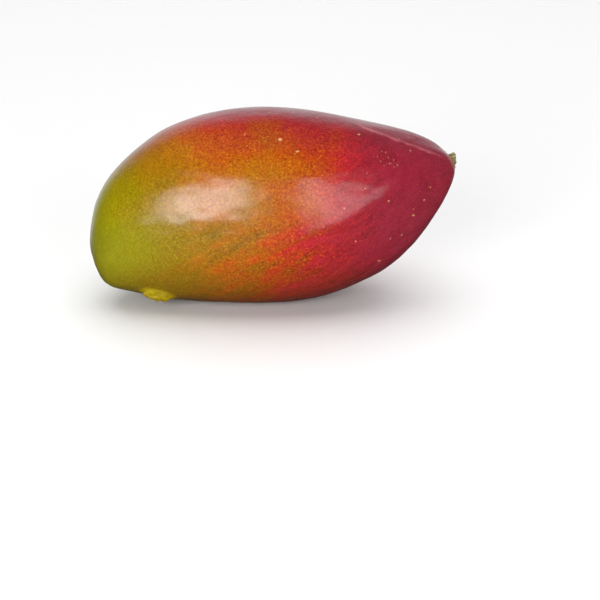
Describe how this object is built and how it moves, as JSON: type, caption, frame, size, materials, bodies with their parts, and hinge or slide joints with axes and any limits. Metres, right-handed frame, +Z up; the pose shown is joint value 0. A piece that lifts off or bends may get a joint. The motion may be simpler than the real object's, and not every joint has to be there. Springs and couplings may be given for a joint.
{
  "type": "mango",
  "caption": "Whole ripe mango with a red blush over green and gold skin, lying on its belly, with a small beak and a short dry stalk stub.",
  "frame": {"origin": "on the table, under the middle of the whole mango's box", "axes": "+X from the blossom end to the stalk end, +Y across the cheeks and level, towards the side that the back leans to, +Z up from the table"},
  "size_m": [0.1464, 0.071, 0.0771],
  "materials": {
    "skin": "smooth waxy skin, semi-gloss, speckled with fine pale lenticels",
    "dry_stalk": "matt, dry and fibrous, snapped end"
  },
  "bodies": {
    "root": {"fruit": "skin", "stalk_stub": "dry_stalk"}
  },
  "joints": []
}
